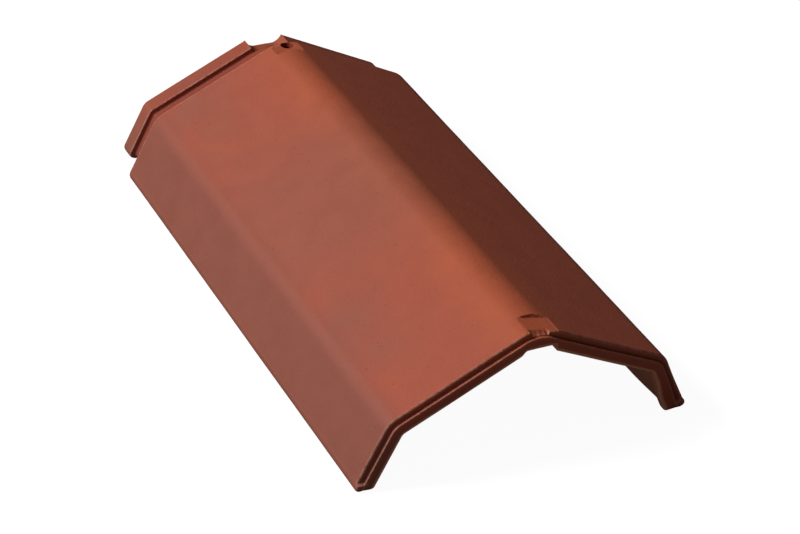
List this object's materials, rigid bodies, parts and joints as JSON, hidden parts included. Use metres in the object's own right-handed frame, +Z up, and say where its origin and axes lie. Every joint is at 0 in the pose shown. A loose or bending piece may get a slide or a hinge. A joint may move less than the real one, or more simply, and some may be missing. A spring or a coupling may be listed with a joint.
{
  "type": "ridge tile",
  "caption": "Angular fired-clay ridge tile with sloping flanks and steeper skirts, a lipped tail with a clip seat, and a grooved, rimmed spigot at the head with a nail hole.",
  "frame": {"origin": "under the middle of the tile, centred across and along it, level with the underside of the feet", "axes": "+X across the tile, +Y along it from the tail to the spigot, +Z up, away from the feet"},
  "size_m": [0.2372, 0.4214, 0.0926],
  "materials": {
    "fired_clay": "matt red-brown engobed clay"
  },
  "bodies": {
    "root": {"ridge_tile": "fired_clay"}
  },
  "joints": []
}
